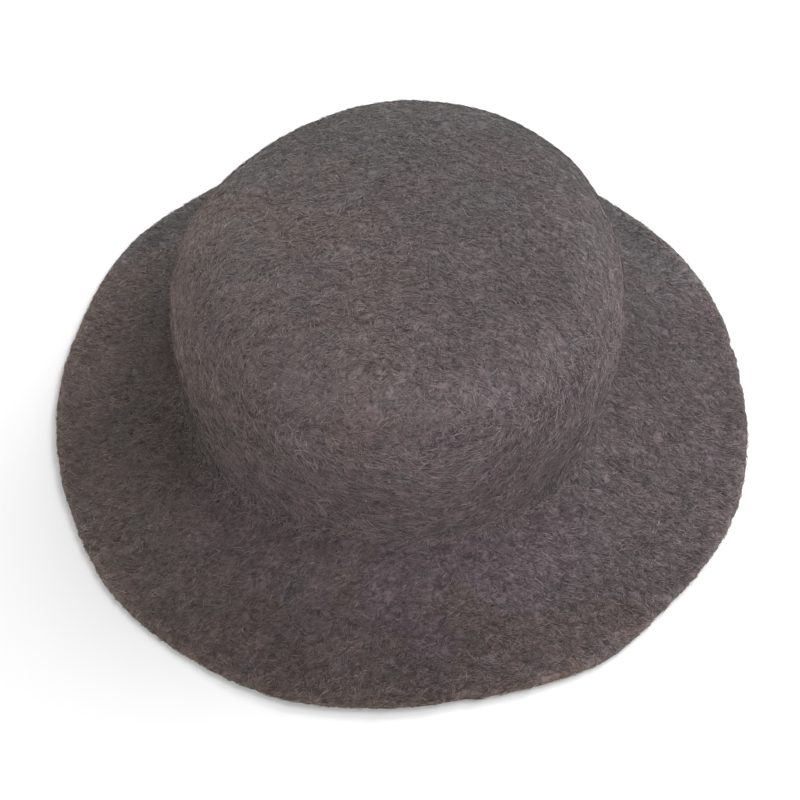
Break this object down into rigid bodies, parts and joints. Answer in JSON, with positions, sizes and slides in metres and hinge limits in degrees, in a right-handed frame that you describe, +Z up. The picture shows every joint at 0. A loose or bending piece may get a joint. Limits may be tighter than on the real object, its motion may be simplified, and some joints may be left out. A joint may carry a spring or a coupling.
{
  "type": "wide-brim hat",
  "caption": "Wide-brim hat of long-haired grey-brown felt, in one piece, with a soft round crown and a broad, nearly flat brim.",
  "frame": {"origin": "on the floor, below the middle of the hat's bounding box", "axes": "+Z up through the crown, -Y towards the front of the hat, where the brim is widest, +X to the wearer's left as the hat faces -Y"},
  "size_m": [0.3199, 0.3201, 0.1026],
  "materials": {
    "felt": "matt long-haired felt, grey-brown with a mauve cast, brushed fibres"
  },
  "bodies": {
    "root": {"hat_body": "felt"}
  },
  "joints": []
}
